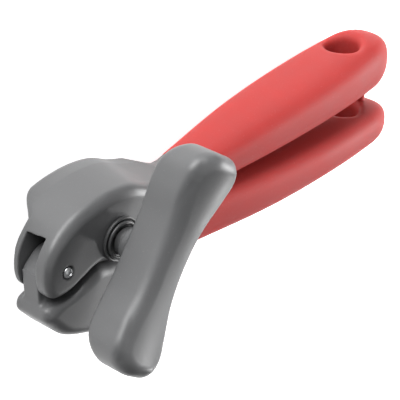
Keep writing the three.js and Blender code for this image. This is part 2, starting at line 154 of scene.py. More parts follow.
class KeySettings(PropertyGroup):
    """Sizes of the turning key."""

    tilt: FloatProperty(
        name="Tilt", description="Turn of the key's long axis from v towards u at rest", subtype="ANGLE",
        default=math.radians(36.5))
    half_length: FloatProperty(
        name="Half length", description="From the shaft to each end, in millimetres", default=40.3)
    waist: FloatProperty(
        name="Waist", description="Half width at the shaft, in millimetres", default=8.2)
    end_width: FloatProperty(
        name="Ends", description="Half width near the ends, in millimetres", default=12.5)
    outer_round: FloatProperty(
        name="Outer rounding", description="Rounding of the outer face's edges, in millimetres", default=4.8)


class WheelSettings(PropertyGroup):
    """Sizes and colour of the steel pieces."""

    teeth: IntProperty(
        name="Teeth", description="Teeth of the drive wheel", default=20, min=8)
    steel: FloatVectorProperty(
        name="Steel", description="Colour of the plain steel", subtype="COLOR", size=3,
        min=0.0, max=1.0, default=(0.52, 0.53, 0.54))


class StageSettings(PropertyGroup):
    """Floor, lights and camera."""

    floor: FloatVectorProperty(
        name="Floor", description="Colour of the floor", subtype="COLOR", size=3,
        min=0.0, max=1.0, default=(0.9, 0.9, 0.9))
    floor_glow: FloatProperty(
        name="Floor glow", description="How much light the floor gives off, as a lit backdrop does",
        default=0.75, min=0.0)
    room_glow: FloatProperty(
        name="Room glow", description="Strength of the even light from all round", default=0.22, min=0.0)
    main_power: FloatProperty(
        name="Main light", description="Power of the large low main light, in watts", default=12.5)
    top_power: FloatProperty(
        name="Top light", description="Power of the soft overhead light, in watts", default=1.0)
    side_power: FloatProperty(
        name="Side light", description="Power of the soft light on the handles' side, in watts",
        default=14.0)
    rim_power: FloatProperty(
        name="Rim light", description="Power of the small light from behind the key, in watts", default=1.6)
    swing: FloatProperty(
        name="Camera swing", description="Turn of the camera from the key's axis towards the head",
        subtype="ANGLE", default=math.radians(46.96))
    lift: FloatProperty(
        name="Camera lift", description="Height of the camera towards the upper handle", subtype="ANGLE",
        default=math.radians(30.6))
    roll: FloatProperty(
        name="Camera roll", description="Turn of the camera about its own axis", subtype="ANGLE",
        default=math.radians(-1.19))
    distance: FloatProperty(
        name="Camera distance", description="From the camera to the point it looks at, in millimetres",
        default=577.3)


# ---- curves and distances ------------------------------------------------------------------------

def smooth_loop(points, samples=300):
    """Closed centripetal Catmull-Rom curve: each stretch blends four neighbouring points, spaced in the
    parameter by the square root of their distances."""
    p = np.array(points, float)
    each = max(2, samples // len(p))
    p0, p1, p2, p3 = np.roll(p, 1, 0), p, np.roll(p, -1, 0), np.roll(p, -2, 0)
    knot = [np.linalg.norm(b - a, axis=1)[:, None, None] ** 0.5 for a, b in ((p0, p1), (p1, p2), (p2, p3))]
    t = np.linspace(0, 1, each, endpoint=False)[None, :, None]
    p0, p1, p2, p3 = (q[:, None, :] for q in (p0, p1, p2, p3))
    m1 = (p2 - p1) + knot[1] * ((p1 - p0) / knot[0] - (p2 - p0) / (knot[0] + knot[1]))
    m2 = (p2 - p1) + knot[1] * ((p3 - p2) / knot[2] - (p3 - p1) / (knot[1] + knot[2]))
    h = ((1 + 2 * t) * (1 - t) ** 2, t * (1 - t) ** 2, t * t * (3 - 2 * t), t * t * (t - 1))
    return (h[0] * p1 + h[1] * m1 + h[2] * p2 + h[3] * m2).reshape(-1, 2)


def outline_distance(loop, x, y):
    """Distance to a closed outline, negative inside: the least distance to any side, with its sign from how
    many sides a ray along x crosses."""
    shape = np.broadcast(x, y).shape
    nearest = np.full(shape, np.inf)
    inside = np.zeros(shape, bool)
    for (ax, ay), (bx, by) in zip(loop, np.roll(loop, -1, 0)):
        ex, ey = bx - ax, by - ay
        px, py = x - ax, y - ay
        t = np.clip((px * ex + py * ey) / (ex * ex + ey * ey), 0.0, 1.0)
        nearest = np.minimum(nearest, (px - t * ex) ** 2 + (py - t * ey) ** 2)
        if ey != 0.0:
            inside ^= ((ay > y) != (by > y)) & (px < ex * py / ey)
    return np.where(inside, -1.0, 1.0) * np.sqrt(nearest)


def smooth_max(a, b, soft):
    """Larger of two distances, with the crease between them rounded over a width of soft."""
    h = np.clip(0.5 + 0.5 * (a - b) / soft, 0.0, 1.0)
    return b + (a - b) * h + soft * h * (1.0 - h)


def smooth_min(a, b, soft):
    """Smaller of two distances, with the hollow between them filleted over a width of soft."""
    return -smooth_max(-a, -b, soft)


def slab(flat, w, w0, w1, round0, round1):
    """Distance to an outline given thickness from w0 to w1: inside the edge band the distance is measured
    from the centre of the edge's rounding, which is round0 at the w0 face and round1 at the w1 face."""
    middle = (w0 + w1) / 2
    half = (w1 - w0) / 2
    turn = np.where(w > middle, round1, round0)
    a = flat + turn
    b = np.abs(w - middle) - half + turn
    return np.minimum(np.maximum(a, b), 0.0) + np.hypot(np.maximum(a, 0.0), np.maximum(b, 0.0)) - turn


def brick(u, v, w, low, high, turn=0.3):
    """Distance to a box with its edges rounded by turn."""
    parts = []
    for x, a, b in zip((u, v, w), low, high):
        parts.append(np.abs(x - (a + b) / 2) - (b - a) / 2 + turn)
    outside = sum(np.maximum(part, 0.0) ** 2 for part in parts) ** 0.5
    return outside + np.minimum(np.maximum(np.maximum(parts[0], parts[1]), parts[2]), 0.0) - turn


def between(values, u):
    """Smooth value between the grip stations: cubic, with each slope taken across its neighbours."""
    x, y = np.array(STATIONS), np.array(values, float)
    slope = np.empty_like(y)
    slope[1:-1] = (y[2:] - y[:-2]) / (x[2:] - x[:-2])
    slope[0] = (y[1] - y[0]) / (x[1] - x[0])
    slope[-1] = (y[-1] - y[-2]) / (x[-1] - x[-2])
    u = np.clip(u, x[0], x[-1])
    i = np.clip(np.searchsorted(x, u, side="right") - 1, 0, len(x) - 2)
    span = x[i + 1] - x[i]
    t = (u - x[i]) / span
    return (y[i] * (1 + 2 * t) * (1 - t) ** 2 + slope[i] * span * t * (1 - t) ** 2
            + y[i + 1] * t * t * (3 - 2 * t) + slope[i + 1] * span * t * t * (t - 1))


# ---- meshes --------------------------------------------------------------------------------------

def placed(points):
    """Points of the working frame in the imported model's frame: turned half round the pivot, in metres."""
    points = np.asarray(points, float)
    place = np.empty_like(points)
    place[:, 0] = PIVOT[0] - points[:, 0] / 1000.0
    place[:, 1] = PIVOT[1] - points[:, 1] / 1000.0
    place[:, 2] = (points[:, 2] - REST_W) / 1000.0
    return place


def piece(name, points, faces, material, body, slot, nodes, sharp=None):
    """Mesh object from working-frame points, riding on a body and standing for CAD nodes."""
    mesh = bpy.data.meshes.new(name)
    mesh.from_pydata(placed(points), [], faces)
    mesh.polygons.foreach_set("use_smooth", np.ones(len(mesh.polygons), bool))
    if sharp is not None:
        mesh.set_sharp_from_angle(angle=math.radians(sharp))
    mesh.materials.append(material)
    mesh.update()
    made = bpy.data.objects.new(name, mesh)
    bpy.context.scene.collection.objects.link(made)
    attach(made, body)
    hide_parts(*nodes)


def skin(field, low, high, step):
    """Surface where field is zero. One point stands in every grid cell that the surface crosses, at the mean
    of the crossings on the cell's edges. It is moved onto the surface along the cell's gradient three times,
    and evened out between its neighbours in between. One four-sided face goes round every crossed grid
    edge."""
    axes = [np.arange(a - 1.5 * step, b + 2.5 * step, step) for a, b in zip(low, high)]
    size = tuple(len(axis) for axis in axes)
    value = np.broadcast_to(field(*np.meshgrid(*axes, indexing="ij", sparse=True)), size).astype(np.float32)
    inside = value < 0
    corners = np.array([(i, j, k) for i in (0, 1) for j in (0, 1) for k in (0, 1)])

    def at_corner(array, corner):
        return array[tuple(slice(c, n - 1 + c) for c, n in zip(corner, size))]

    count = sum(at_corner(inside, c).astype(np.uint8) for c in corners)
    crossed = (count > 0) & (count < 8)
    number = np.full(crossed.shape, -1, np.int64)
    number[crossed] = np.arange(int(crossed.sum()))
    values = np.stack([at_corner(value, c)[crossed] for c in corners], 1).astype(float)
    total = np.zeros((len(values), 3))
    hits = np.zeros(len(values))
    for a, b in [(a, b) for a in range(8) for b in range(a + 1, 8)
                 if np.abs(corners[a] - corners[b]).sum() == 1]:
        cut = (values[:, a] < 0) != (values[:, b] < 0)
        drop = np.where(cut, values[:, a] - values[:, b], 1.0)
        share = np.clip(values[:, a] / drop, 0.0, 1.0)
        total += cut[:, None] * (corners[a] + share[:, None] * (corners[b] - corners[a]))
        hits += cut
    start = np.array([axis[0] for axis in axes])
    points = start + (np.argwhere(crossed) + total / hits[:, None]) * step

    faces = []
    for a in range(3):
        b, c = (a + 1) % 3, (a + 2) % 3
        near = [slice(None)] * 3
        far = [slice(None)] * 3
        near[a], far[a] = slice(None, -1), slice(1, None)
        near[b] = far[b] = near[c] = far[c] = slice(1, -1)
        first = inside[tuple(near)]
        turn = first != inside[tuple(far)]
        at = np.argwhere(turn)
        at[:, b] += 1
        at[:, c] += 1
        ring = []
        for back_b, back_c in ((1, 1), (0, 1), (0, 0), (1, 0)):
            cell = at.copy()
            cell[:, b] -= back_b
            cell[:, c] -= back_c
            ring.append(number[cell[:, 0], cell[:, 1], cell[:, 2]])
        quads = np.stack(ring, 1)
        flipped = ~first[turn]
        quads[flipped] = quads[flipped][:, ::-1]
        faces.append(quads)
    faces = np.concatenate(faces)

    gradient = np.stack([values[:, corners[:, d] == 1].mean(1) - values[:, corners[:, d] == 0].mean(1)
                         for d in range(3)], 1) / step
    gradient /= np.maximum((gradient ** 2).sum(1), 0.09)[:, None]
    ends = np.concatenate([faces[:, [i, (i + 1) % 4]] for i in range(4)])
    for turn in range(3):
        miss = np.clip(field(points[:, 0], points[:, 1], points[:, 2]), -step, step)
        points = points - miss[:, None] * gradient
        if turn < 2:
            total = np.zeros_like(points)
            for d in range(3):
                total[:, d] = np.bincount(ends[:, 0], points[ends[:, 1], d], len(points))
            near = np.bincount(ends[:, 0], minlength=len(points))
            points = points + 0.5 * (total / near[:, None] - points)
    return points, faces


def turned(axis_u, axis_v, profile, segments=96, corner=0.12):
    """Profile of (radius, w) points carried round an axis along w. Each corner that isn't on the axis is cut
    by two points a short way from it, so that it catches the light as a small bevel."""
    p = np.array(profile, float)
    area = np.sum(p[:, 0] * np.roll(p[:, 1], -1) - np.roll(p[:, 0], -1) * p[:, 1])
    if area < 0:
        p = p[::-1]
    rounded = []
    for before, here, after in zip(np.roll(p, 1, 0), p, np.roll(p, -1, 0)):
        if here[0] < 1e-6:
            rounded.append(here)
            continue
        for other in (before, after):
            reach = np.linalg.norm(other - here)
            rounded.append(here + (other - here) * min(0.3, corner / max(reach, 1e-9)))
    p = np.array(rounded)
    closed = not np.any(p[:, 0] < 1e-6)
    if not closed:
        on_axis = np.nonzero(p[:, 0] < 1e-6)[0]
        p = np.roll(p, -on_axis[-1] if on_axis[-1] - on_axis[0] > 1 else -on_axis[1], axis=0)
    angle = np.linspace(0, 2 * np.pi, segments, endpoint=False)
    rings = p if closed else p[1:-1]
    points = np.stack([axis_u + rings[:, :1] * np.cos(angle), axis_v + rings[:, :1] * np.sin(angle),
                       np.repeat(rings[:, 1:], segments, 1)], -1).reshape(-1, 3)
    count = len(rings)
    i = np.arange(count if closed else count - 1)[:, None]
    j = np.arange(segments)[None, :]
    a = i * segments + j
    b = i * segments + (j + 1) % segments
    c = (i + 1) % count * segments + (j + 1) % segments
    d = (i + 1) % count * segments + j
    faces = np.stack([a, b, c, d], -1).reshape(-1, 4).tolist()
    if not closed:
        first, last = len(points), len(points) + 1
        points = np.vstack([points, (axis_u, axis_v, p[0, 1]), (axis_u, axis_v, p[-1, 1])])
        ring = np.arange(segments)
        end = (count - 1) * segments
        faces += np.stack([np.roll(ring, -1), ring, np.full(segments, first)], 1).tolist()
        faces += np.stack([end + ring, end + np.roll(ring, -1), np.full(segments, last)], 1).tolist()
    return points, faces


def prism(loop, w0, w1, bevel, hole=None):
    """Outline carried straight along w, with both rims pulled in by bevel and the ends closed by a ring to a
    round hole, or by a fan to the middle."""
    centre = loop.mean(0)
    pulled = centre + (loop - centre) * (1 - bevel / np.linalg.norm(loop - centre, axis=1).mean())
    stack = [(pulled, w0), (loop, w0 + bevel), (loop, w1 - bevel), (pulled, w1)]
    n = len(loop)
    if hole:
        angle = np.arctan2(loop[:, 1] - centre[1], loop[:, 0] - centre[0])
        bore = centre + hole * np.stack([np.cos(angle), np.sin(angle)], 1)
        stack = [(bore, w0)] + stack + [(bore, w1)]
    points = np.vstack([np.column_stack([ring, np.full(n, w)]) for ring, w in stack])
    rings = len(stack)
    i = np.arange(rings if hole else rings - 1)[:, None]
    j = np.arange(n)[None, :]
    a, b = i * n + j, i * n + (j + 1) % n
    c, d = (i + 1) % rings * n + (j + 1) % n, (i + 1) % rings * n + j
    faces = np.stack([a, b, c, d], -1).reshape(-1, 4).tolist()
    if not hole:
        faces.append(list(range(n))[::-1])
        faces.append(list(range((rings - 1) * n, rings * n)))
    return points, faces


# ---- materials -----------------------------------------------------------------------------------

def node(tree, kind, location, **values):
    """Adds a shader node and sets its attributes and unlinked inputs."""
    made = tree.nodes.new(kind)
    made.location = location
    for key, value in values.items():
        if key in made.inputs:
            made.inputs[key].default_value = value
        else:
            setattr(made, key, value)
    return made


def tint(colour, factor):
    """Colour scaled in brightness, with alpha."""
    return (*[min(1.0, c * factor) for c in colour], 1.0)


def moulded(name, colour, rough, grain, grain_depth, mottle, specular=0.5, glow_depth=0.0):
    """Moulded plastic: faint cloudy colour, roughness that drifts, and a fine grain with slow waviness.
    Where glow_depth isn't zero, red light spreads about that many metres under the surface."""
    material = bpy.data.materials.new(name)
    material.use_nodes = True
    tree = material.node_tree
    shader = tree.nodes["Principled BSDF"]
    shader.inputs["Specular IOR Level"].default_value = specular
    if glow_depth > 0.0:
        shader.inputs["Subsurface Weight"].default_value = 0.45
        shader.inputs["Subsurface Radius"].default_value = (1.0, 0.12, 0.1)
        shader.inputs["Subsurface Scale"].default_value = glow_depth
    where = node(tree, "ShaderNodeTexCoord", (-1200, 0))
    cloud = node(tree, "ShaderNodeTexNoise", (-1000, 200), Scale=55.0, Detail=4.0, Roughness=0.55)
    fine = node(tree, "ShaderNodeTexNoise", (-1000, -100), Scale=grain, Detail=3.0, Roughness=0.6)
    wave = node(tree, "ShaderNodeTexNoise", (-1000, -400), Scale=26.0, Detail=2.0)
    for texture in (cloud, fine, wave):
        tree.links.new(where.outputs["Object"], texture.inputs["Vector"])
    ramp = node(tree, "ShaderNodeValToRGB", (-780, 200))
    ramp.color_ramp.elements[0].position = 0.3
    ramp.color_ramp.elements[0].color = tint(colour, 1.0 - mottle)
    ramp.color_ramp.elements[1].position = 0.7
    ramp.color_ramp.elements[1].color = tint(colour, 1.0 + mottle)
    tree.links.new(cloud.outputs["Fac"], ramp.inputs["Fac"])
    speck = node(tree, "ShaderNodeMapRange", (-780, -60),
                 **{"From Min": 0.62, "From Max": 0.8, "To Min": 0.0, "To Max": 1.0})
    tree.links.new(fine.outputs["Fac"], speck.inputs["Value"])
    dust = node(tree, "ShaderNodeMix", (-480, 200), data_type="RGBA", blend_type="SCREEN")
    dust.inputs[0].default_value = 0.04
    tree.links.new(ramp.outputs["Color"], dust.inputs[6])
    tree.links.new(speck.outputs["Result"], dust.inputs[7])
    tree.links.new(dust.outputs[2], shader.inputs["Base Color"])
    drift = node(tree, "ShaderNodeMapRange", (-780, -300),
                 **{"From Min": 0.3, "From Max": 0.7, "To Min": rough - 0.05, "To Max": rough + 0.05})
    tree.links.new(cloud.outputs["Fac"], drift.inputs["Value"])
    tree.links.new(drift.outputs["Result"], shader.inputs["Roughness"])
    slow = node(tree, "ShaderNodeBump", (-480, -300), Strength=0.12, Distance=0.0006)
    tree.links.new(wave.outputs["Fac"], slow.inputs["Height"])
    tooth = node(tree, "ShaderNodeBump", (-240, -200), Strength=grain_depth, Distance=0.00006)
    tree.links.new(fine.outputs["Fac"], tooth.inputs["Height"])
    tree.links.new(slow.outputs["Normal"], tooth.inputs["Normal"])
    tree.links.new(tooth.outputs["Normal"], shader.inputs["Normal"])
    return material


def machined(name, colour, rough, scratch_scale=(900.0, 900.0, 60.0), depth=0.25):
    """Bare steel: long fine scratches, drifting roughness and a faint stain in the colour."""
    material = bpy.data.materials.new(name)
    material.use_nodes = True
    tree = material.node_tree
    shader = tree.nodes["Principled BSDF"]
    shader.inputs["Metallic"].default_value = 1.0
    where = node(tree, "ShaderNodeTexCoord", (-1200, 0))
    stretch = node(tree, "ShaderNodeMapping", (-1020, -100), Scale=scratch_scale)
    tree.links.new(where.outputs["Object"], stretch.inputs["Vector"])
    scratch = node(tree, "ShaderNodeTexNoise", (-820, -100), Scale=1.0, Detail=4.0, Roughness=0.65)
    tree.links.new(stretch.outputs["Vector"], scratch.inputs["Vector"])
    stain = node(tree, "ShaderNodeTexNoise", (-820, 200), Scale=180.0, Detail=3.0)
    tree.links.new(where.outputs["Object"], stain.inputs["Vector"])
    ramp = node(tree, "ShaderNodeValToRGB", (-560, 200))
    ramp.color_ramp.elements[0].color = tint(colour, 0.86)
    ramp.color_ramp.elements[1].color = tint(colour, 1.1)
    tree.links.new(stain.outputs["Fac"], ramp.inputs["Fac"])
    tree.links.new(ramp.outputs["Color"], shader.inputs["Base Color"])
    drift = node(tree, "ShaderNodeMapRange", (-560, -60),
                 **{"From Min": 0.3, "From Max": 0.7, "To Min": rough - 0.07, "To Max": rough + 0.1})
    tree.links.new(scratch.outputs["Fac"], drift.inputs["Value"])
    tree.links.new(drift.outputs["Result"], shader.inputs["Roughness"])
    bump = node(tree, "ShaderNodeBump", (-320, -200), Strength=depth, Distance=0.00003)
    tree.links.new(scratch.outputs["Fac"], bump.inputs["Height"])
    tree.links.new(bump.outputs["Normal"], shader.inputs["Normal"])
    return material


def finish(name):
    """One of the opener's finishes, made the first time it is asked for."""
    if name in bpy.data.materials:
        return bpy.data.materials[name]
    scene = bpy.context.scene
    grey = tuple(scene.opener_jaws.colour)
    steel = tuple(scene.opener_wheels.steel)
    if name == "satin_grey_plastic":
        return moulded(name, grey, 0.42, 1500.0, 0.30, mottle=0.05, specular=0.65)
    # Half as bright as the jaws' grey. The bushing and thrust ring are drawn in this darker grey; on the
    # key's hub it is painted shade, standing in for the shade under the key bar.
    if name == "darker_grey_and_painted_hub_shade":
        return moulded(name, tuple(0.5 * c for c in grey), 0.36, 1800.0, 0.2, mottle=0.04)
    if name == "soft_red_grip":
        return moulded(name, tuple(scene.opener_grips.colour), 0.6, 1300.0, 0.35, mottle=0.05,
                       specular=0.25, glow_depth=0.005)
    if name == "polished_pin_steel":
        return machined(name, tuple(1.2 * c for c in steel), 0.25, depth=0.06)
    if name == "ground_blade_steel":
        return machined(name, tuple(1.15 * c for c in steel), 0.26, (260.0, 260.0, 1400.0))
    return machined("plain_steel", steel, 0.36)


# ---- grips ---------------------------------------------------------------------------------------

def grip_distance(u, v, w, outer, inner, end, power):
    """Distance to a grip: a rounded-square section between its outer and inner faces, whose size follows the
    stations along u. It is closed by a blunt nose, where the square of the section's radius and the reach
    into the nose raised to NOSE_POWER add up to 1."""
    top, bottom, half = between(outer, u), between(inner, u), between(HALF_WIDTH, u)
    across = np.abs((w - GRIP_MID_W) / half) ** power
    along = np.abs((v - (top + bottom) / 2) / (np.abs(top - bottom) / 2)) ** power
    radius = (across + along) ** (1 / power)
    reach = np.maximum(u - end + NOSE_LENGTH, 0.0) / NOSE_LENGTH
    full = (radius ** 2 + reach ** NOSE_POWER) ** 0.5
    return (full - 1.0) * np.minimum(half, np.abs(top - bottom) / 2)


def make_grip(name, node_name, outer, inner, end, body):
    """Builds one grip with its hanging hole and the sockets for the jaw's tang and the steel core."""
    settings = bpy.context.scene.opener_grips
    middle = (inner[0] + outer[0]) / 2
    tang = (3.0, 9.2) if outer[0] > 0 else (-15.4, -9.2)
    core = (4.3, 7.9) if outer[0] > 0 else (-14.1, -10.5)

    def field(u, v, w):
        body_part = grip_distance(u, v, w, outer, inner, end, settings.squareness)
        hole = settings.hole_radius - np.hypot(u - HOLE_U, w - HOLE_W)
        shape = smooth_max(body_part, hole, settings.hole_rim)
        shape = smooth_max(shape, GRIP_START - u, 0.9)
        tang_socket = brick(u, v, w, (40, tang[0] - 0.3, -3.1), (84.3, tang[1] + 0.3, 5.5))
        core_socket = brick(u, v, w, (40, core[0] - 0.3, -0.3), (148.3, core[1] + 0.3, 2.7))
        return np.maximum(shape, -np.minimum(tang_socket, core_socket))

    low = (GRIP_START - 1, min(outer + inner) - 1, -15.5)
    high = (end + 1, max(outer + inner) + 1, 18.0)
    points, faces = skin(field, low, high, 0.55)
    piece(name, points, faces.tolist(), finish("soft_red_grip"), body, "grip_red", [node_name])


class OPENER_OT_grips(Operator):
    """Both soft grips with their hanging holes"""

    bl_idname = "can_opener.grips"
    bl_label = "Grips"

    def execute(self, context):
        make_grip("upper_grip_skin", "upper_grip", UPPER_OUTER, UPPER_INNER, UPPER_END, "upper_arm")
        make_grip("lower_grip_skin", "lower_grip", LOWER_OUTER, LOWER_INNER, LOWER_END, "lower_arm")
        return {"FINISHED"}


class OPENER_OT_bumper(Operator):
    """Small red stop that stands between the two grips"""

    bl_idname = "can_opener.bumper"
    bl_label = "Stop bumper"

    def execute(self, context):
        low, high = (np.array(corner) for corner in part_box("stop_bumper"))
        centre = (PIVOT[:2] - (low + high)[:2] / 2) * 1000.0
        middle_w = (low[2] + high[2]) * 500.0 + REST_W
        radius = (high[2] - low[2]) * 500.0
        half = (high[1] - low[1]) * 500.0

        def field(u, v, w):
            along = np.clip(v - centre[1], radius - half, half - radius)
            swell = 0.12 * np.cos((v - centre[1]) * 1.1)
            return np.sqrt((u - centre[0]) ** 2 + (v - centre[1] - along) ** 2
                           + (w - middle_w) ** 2) - radius + 0.15 + swell

        box_low = (centre[0] - radius, centre[1] - half, middle_w - radius)
        box_high = (centre[0] + radius, centre[1] + half, middle_w + radius)
        points, faces = skin(field, box_low, box_high, 0.2)
        piece("stop_bumper_peg", points, faces.tolist(), finish("soft_red_grip"), "lower_arm", "grip_red",
              ["stop_bumper"])
        return {"FINISHED"}


# ---- jaws ----------------------------------------------------------------------------------------

def neck_distance(u, v, w, outer, inner):
    """Sleeve round a jaw's neck: the grip's own section at the neck, opening quickly towards the head."""
    power = 2.6
    wide = np.clip((59.5 - u) / 22, 0, None) ** 2.2
    top, bottom = between(outer, u) - 0.15, between(inner, u) + 0.15
    tall = np.abs(top - bottom) / 2 + 45 * wide
    half = between(HALF_WIDTH, u) - 0.15 + 40 * wide
    radius = (np.abs((v - (top + bottom) / 2) / tall) ** power
              + np.abs((w - GRIP_MID_W) / half) ** power) ** (1 / power)
    return (radius - 1.0) * np.minimum(tall, half)


def falling_top(points):
    """The upper outline as it is on the key side, where the hood's top is lower."""
    p = np.array(points, float)
    high = p[:, 1] > 10
    p[high, 1] -= 3.2 * np.minimum(1.0, (p[high, 1] - 10) / 8)
    return p


class OPENER_OT_upper_jaw(Operator):
    """Upper jaw: arched hood, clevis ears and neck"""

    bl_idname = "can_opener.upper_jaw"
    bl_label = "Upper jaw"

    def execute(self, context):
        settings = context.scene.opener_jaws
        back_loop = smooth_loop(UPPER_BACK_OUTLINE)
        front_loop = smooth_loop(falling_top(UPPER_BACK_OUTLINE))
        hollow_loop = smooth_loop(HOLLOW_OUTLINE, 120)
        corner_loop = np.array(FRONT_CORNER, float)

        def field(u, v, w):
            share = np.clip((w + 6.0) / 18.0, 0.0, 1.0)
            up = np.clip((v - 4.0) / 9.0 + np.clip((u - 12.0) / 12.0, 0.0, 1.0), 0.0, 1.0)
            rim = settings.ear_round + (settings.edge_round - settings.ear_round) * up
            flat = (1 - share) * outline_distance(back_loop, u, v) + share * outline_distance(
                front_loop, u, v)
            shape = slab(flat, w, REST_W, JAW_FRONT, rim, rim)
            shape = smooth_max(shape, neck_distance(u, v, w, UPPER_OUTER, UPPER_INNER), 1.2)
            blunt = 0.9 + 1.9 * np.clip((v - 10.0) / 6.0, 0.0, 1.0)
            lean = np.clip(0.5 * (18.5 - v), -1.2, 3.2)
            shape = smooth_max(shape, -outline_distance(corner_loop, u - lean, w), blunt)
            under = smooth_min(6.2 - v, JAW_BACK - w, 1.2)
            shape = smooth_max(shape, under, 1.0)
            hollow = slab(outline_distance(hollow_loop, u, v), w, -12.2, JAW_BACK + 4, 1.0, 1.0)
            shape = smooth_max(shape, -np.maximum(hollow, w - JAW_BACK), 0.8)
            disc = np.hypot(u, v) - settings.slot_radius
            mouth = np.maximum(u, v - 0.7 * settings.slot_radius)
            slot = np.maximum(np.minimum(disc, mouth), np.abs(w - (SLOT_BACK + SLOT_FRONT) / 2)
                              - (SLOT_FRONT - SLOT_BACK) / 2)
            shape = smooth_max(shape, -slot, 0.7)
            shape = np.maximum(shape, u - GRIP_START + 0.3)
            tang = brick(u, v, w, (60, 3.0, -2.8), (84, 9.2, 5.2))
            shape = smooth_min(shape, tang, 0.4)
            core = brick(u, v, w, (44, 4.0, -0.3), (90, 8.2, 2.7), 0.1)
            pin = PIN_BORE - np.hypot(u, v)
            recess = np.minimum(PIN_RECESS - np.hypot(u, v), w - JAW_FRONT + 0.9)
            bore = BUSHING_BORE - np.hypot(u - SHAFT[0], v - SHAFT[1])
            shape = np.maximum(np.maximum(shape, -core), pin)
            shape = smooth_max(shape, recess, 0.35)
            shape = smooth_max(shape, bore, 0.4)
            for screw_u, screw_v in PLATE_SCREWS:
                hole = np.minimum(SCREW_BORE - np.hypot(u - screw_u, v - screw_v), 2.0 - w)
                shape = np.maximum(shape, hole)
            return shape

        points, faces = skin(field, (-10, -10, REST_W), (84.5, 24, JAW_FRONT), 0.42)
        piece("upper_jaw_shell", points, faces.tolist(), finish("satin_grey_plastic"), "upper_arm",
              "jaw_grey", ["upper_jaw"])
        return {"FINISHED"}


class OPENER_OT_lower_jaw(Operator):
    """Lower jaw: deep bowl, hollow seat for the ears and the tongue between them"""

    bl_idname = "can_opener.lower_jaw"
    bl_label = "Lower jaw"

    def execute(self, context):
        settings = context.scene.opener_jaws
        loop = smooth_loop(LOWER_OUTLINE)

        def field(u, v, w):
            flat = outline_distance(loop, u, v)
            shape = slab(flat, w, JAW_BACK, JAW_FRONT, 1.6, settings.bowl_round)
            shape = smooth_max(shape, neck_distance(u, v, w, LOWER_OUTER, LOWER_INNER), 1.2)
            shape = smooth_max(shape, 11.2 - np.hypot(u, v), 2.4)
            disc = np.hypot(u, v) - settings.tongue_radius
            stem = np.maximum(np.maximum(np.abs(u + 0.2) - settings.tongue_radius + 0.2, v), -15 - v)
            crown = smooth_max(smooth_max(disc, v - 5.8, 2.0), 0.78 * v - 0.62 * u - 5.3, 2.0)
            tongue = slab(np.minimum(crown, stem), w, SLOT_BACK + 0.35, SLOT_FRONT - 0.35, 0.7, 0.7)
            shape = smooth_min(shape, tongue, 1.6)
            shape = np.maximum(shape, u - GRIP_START + 0.3)
            tang = brick(u, v, w, (60, -15.4, -2.8), (84, -9.2, 5.2))
            shape = smooth_min(shape, tang, 0.4)
            core = brick(u, v, w, (44, -14.4, -0.3), (90, -10.2, 2.7), 0.1)
            shape = np.maximum(np.maximum(shape, -core), TONGUE_BORE - np.hypot(u, v))
            axle = np.minimum(AXLE_BORE - np.hypot(u - CUTTER[0], v - CUTTER[1]), 4.0 - w)
            return np.maximum(shape, axle)

        points, faces = skin(field, (-11, -33, JAW_BACK), (84.5, 9, JAW_FRONT), 0.42)
        piece("lower_jaw_shell", points, faces.tolist(), finish("satin_grey_plastic"), "lower_arm",
              "jaw_grey", ["lower_jaw"])
        return {"FINISHED"}


# ---- key -----------------------------------------------------------------------------------------

class OPENER_OT_key(Operator):
    """Turning key: a bowed bar with broad rounded ends, and its hub"""

    bl_idname = "can_opener.key"
    bl_label = "Turning key"

    def execute(self, context):
        settings = context.scene.opener_key
        length, waist, wide = settings.half_length, settings.waist, settings.end_width
        loop = smooth_loop((
            (0, waist), (13, waist + 0.7), (25, wide - 0.7), (33, wide), (37.4, wide - 2.6),
            (length - 0.4, wide - 7), (length, 0), (length - 0.4, 7 - wide), (37.4, 2.6 - wide),
            (33, -wide), (25, 0.7 - wide), (13, -waist - 0.7), (0, -waist), (-13, -waist - 0.7),
            (-25, 0.7 - wide), (-33, -wide), (-37.4, 2.6 - wide), (0.4 - length, 7 - wide), (-length, 0),
            (0.4 - length, wide - 7), (-37.4, wide - 2.6), (-33, wide), (-25, wide - 0.7),
            (-13, waist + 0.7)))
        sine, cosine = math.sin(settings.tilt), math.cos(settings.tilt)

        def field(u, v, w):
            along = (u - SHAFT[0]) * sine + (v - SHAFT[1]) * cosine
            across = (u - SHAFT[0]) * cosine - (v - SHAFT[1]) * sine
            out = np.minimum(np.abs(along) / length, 1.1) ** 2
            flat = outline_distance(loop, along, across)
            tip = np.clip((np.abs(along) - 29.0) / (length - 31.0), 0.0, 1.0)
            crown = 1.2 * np.minimum(np.abs(across) / waist, 1.2) ** 2
            bar = slab(flat, w, 21.1 + 4.6 * out, 39.1 + 5.6 * out - crown, 0.9 + 3.2 * tip,
                       settings.outer_round + 1.6 * tip)
            boss = slab(np.hypot(u - SHAFT[0], v - SHAFT[1]) - 6.4, w, 17.2, 26.0, 0.6, 0.6)
            shape = smooth_min(bar, boss, 1.6)
            bore = np.minimum(KEY_BORE - np.hypot(u - SHAFT[0], v - SHAFT[1]), 31.3 - w)
            return np.maximum(shape, bore)

        reach = length + 4
        low = (SHAFT[0] - reach * sine - wide * cosine, SHAFT[1] - reach * cosine - wide * sine, 13.9)
        high = (SHAFT[0] + reach * sine + wide * cosine, SHAFT[1] + reach * cosine + wide * sine, 43.4)
        points, faces = skin(field, low, high, 0.5)
        piece("turning_key_bar", points, faces.tolist(), finish("satin_grey_plastic"), "key_drive",
              "jaw_grey", ["turning_key"])
        # The hub takes the half-bright grey, which paints the shade that falls on it under the key bar.
        hub = turned(SHAFT[0], SHAFT[1], (
            (3.1, 13.95), (4.7, 13.95), (5.1, 14.3), (5.3, 15.2), (5.5, 17.1), (3.1, 17.1)), 128, 0.1)
        piece("turning_key_hub", *hub, finish("darker_grey_and_painted_hub_shade"), "key_drive", "bushing_grey",
              ["turning_key"], sharp=50)
        return {"FINISHED"}


